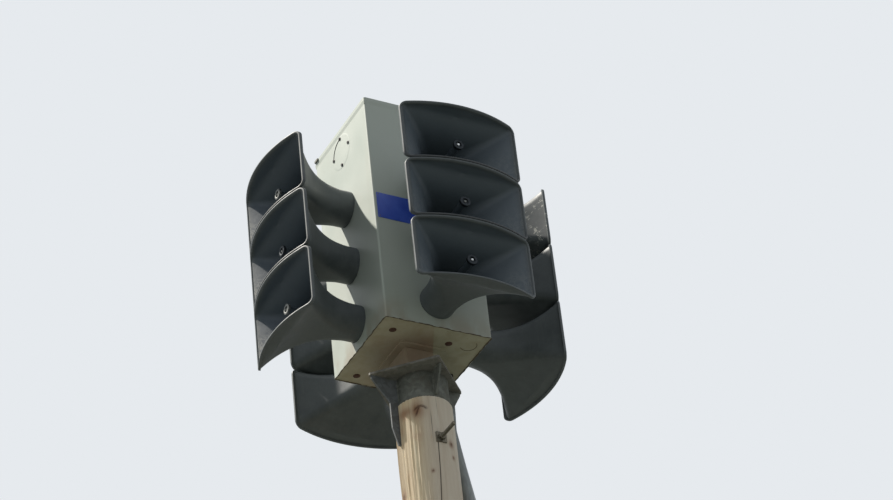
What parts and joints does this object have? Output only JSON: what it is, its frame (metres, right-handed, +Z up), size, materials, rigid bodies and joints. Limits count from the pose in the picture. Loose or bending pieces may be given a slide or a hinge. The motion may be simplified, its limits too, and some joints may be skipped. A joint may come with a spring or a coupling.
{
  "type": "civil defense siren tower",
  "caption": "Electronic warning siren head with stacked bowed horns round a square cabinet, on a steel bracket at the top of a wooden pole.",
  "frame": {"origin": "centre of the pole's foot at ground level", "axes": "+Z up along the pole, -Y out of the cabinet's front face, +X out of its right face"},
  "size_m": [1.264, 1.264, 10],
  "materials": {
    "pole_wood": "debarked and weathered softwood with drying checks",
    "galvanised_steel": "hot-dip galvanised, dull and weathered",
    "bolt_steel": "zinc plated threaded rod and nuts",
    "cabinet_paint": "light grey powder coat, stained underneath",
    "plate_blue": "blue painted plate, bare",
    "horn_moulding": "dark grey glass-fibre moulding with worn, paler lips",
    "driver_black": "black moulded cone with a metal end ring",
    "conduit_grey": "grey plastic conduit",
    "gland_plastic": "black moulded gland nut"
  },
  "bodies": {
    "root": {"wooden_pole": "pole_wood", "pole_collar": "galvanised_steel", "bracket_plate": "galvanised_steel", "bracket_gussets": "galvanised_steel", "pedestal": "galvanised_steel", "bracket_leg": "galvanised_steel", "through_bolt": "bolt_steel", "cabinet_walls": "cabinet_paint", "cabinet_bottom": "cabinet_paint", "cabinet_lid": "cabinet_paint", "name_plate": "plate_blue", "conduit": "conduit_grey", "conduit_gland": "gland_plastic", "conduit_clips": "galvanised_steel", "blank_front": "cabinet_paint", "horn_front_1": "horn_moulding", "driver_front_1": "driver_black", "horn_front_2": "horn_moulding", "driver_front_2": "driver_black", "horn_front_3": "horn_moulding", "driver_front_3": "driver_black", "blank_right": "cabinet_paint", "horn_right_1": "horn_moulding", "driver_right_1": "driver_black", "horn_right_2": "horn_moulding", "driver_right_2": "driver_black", "horn_right_3": "horn_moulding", "driver_right_3": "driver_black", "blank_back": "cabinet_paint", "horn_back_1": "horn_moulding", "driver_back_1": "driver_black", "horn_back_2": "horn_moulding", "driver_back_2": "driver_black", "horn_back_3": "horn_moulding", "driver_back_3": "driver_black", "blank_left": "cabinet_paint", "horn_left_1": "horn_moulding", "driver_left_1": "driver_black", "horn_left_2": "horn_moulding", "driver_left_2": "driver_black", "horn_left_3": "horn_moulding", "driver_left_3": "driver_black"}
  },
  "joints": []
}
